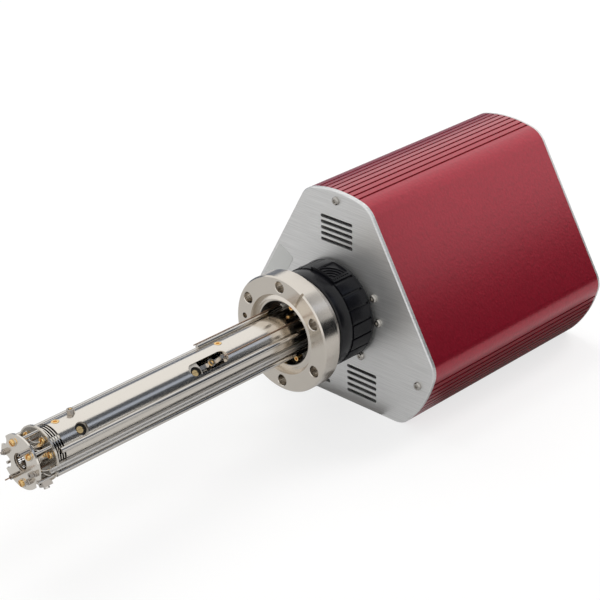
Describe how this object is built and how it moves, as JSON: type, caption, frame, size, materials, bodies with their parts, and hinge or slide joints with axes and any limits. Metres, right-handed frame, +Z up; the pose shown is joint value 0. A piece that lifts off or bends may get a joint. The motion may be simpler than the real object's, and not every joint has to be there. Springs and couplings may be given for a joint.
{
  "type": "quadrupole mass spectrometer",
  "caption": "Compact residual gas analyser: open ion source and slim quadrupole probe on a conflat flange, black bayonet locking ring, red rounded-triangular electronics box.",
  "frame": {"origin": "centre of the flange's sealing face, on the probe's axis", "axes": "-Y along the probe into the vacuum chamber, +Y along the electronics box, +Z up from the box's flat bottom, +X to the right when looking along +Y"},
  "size_m": [0.1458, 0.408, 0.1319],
  "materials": {
    "stainless": "satin turned stainless steel",
    "polished_steel": "polished stainless steel",
    "gold": "gold plate on slotted screws and contacts",
    "ceramic": "fine white alumina",
    "wire": "bare drawn wire",
    "black_plastic": "moulded, semi-matte black",
    "red_paint": "crimson red with a fine texture",
    "plate_aluminium": "brushed, clear anodised",
    "nickel_screw": "bright button-head screws",
    "nickel_fitting": "nickel plate on connectors and nuts",
    "board": "green circuit board",
    "shield": "tinned steel cover",
    "capacitor": "sleeved capacitor can",
    "connector_black": "black connector body",
    "led_lens": "frosted lens"
  },
  "bodies": {
    "analyser": {"analyser_tube": "polished_steel", "bayonet_collar": "stainless", "block_screw": "polished_steel", "board_screws": "nickel_screw", "capacitors": "capacitor", "cf_flange": "stainless", "contact_arm": "stainless", "contact_eye": "gold", "contact_ferrules": "gold", "coupling_screws": "nickel_screw", "coupling_sleeve": "plate_aluminium", "detector_cup": "stainless", "detector_ring": "stainless", "ethernet_jack": "nickel_fitting", "feedthrough_disc": "stainless", "feedthrough_insulators": "ceramic", "feedthrough_pins": "gold", "filament_block": "stainless", "filaments": "wire", "front_plate": "plate_aluminium", "front_plate_screws": "nickel_screw", "front_ring": "stainless", "front_rod_holder": "ceramic", "ground_nut": "nickel_fitting", "ground_stud": "nickel_fitting", "housing_shell": "red_paint", "inlet_wire": "wire", "io_connector": "nickel_fitting", "io_jackscrews": "nickel_screw", "ion_cage": "polished_steel", "lead_tube_upper": "polished_steel", "lead_tubes": "polished_steel", "lens_plates": "stainless", "lens_spacers": "ceramic", "main_board": "board", "pin_socket": "black_plastic", "post_conductor": "wire", "power_connector": "connector_black", "power_nut": "nickel_fitting", "quadrupole_rods": "polished_steel", "rail_bar": "polished_steel", "rear_plate": "plate_aluminium", "rear_plate_screws": "nickel_screw", "rear_rod_holder": "ceramic", "rf_shield": "shield", "rod_screws": "gold", "source_base": "stainless", "source_front_plate": "stainless", "source_gold_screws": "gold", "source_posts": "polished_steel", "source_terminals": "polished_steel", "source_tubes": "polished_steel", "standoffs": "nickel_screw", "status_leds": "led_lens", "tube_post": "stainless", "tube_screws": "gold", "tube_socket": "stainless", "upper_wire": "wire", "window_wire": "wire"},
    "locking_ring": {"locking_ring": "black_plastic"}
  },
  "joints": [
    {"name": "locking_ring_turn", "type": "hinge", "parent": "analyser", "child": "locking_ring", "pos_m": [0, 0.032, 0], "axis": [0, 1, 0], "range_deg": [0, 60]}
  ]
}
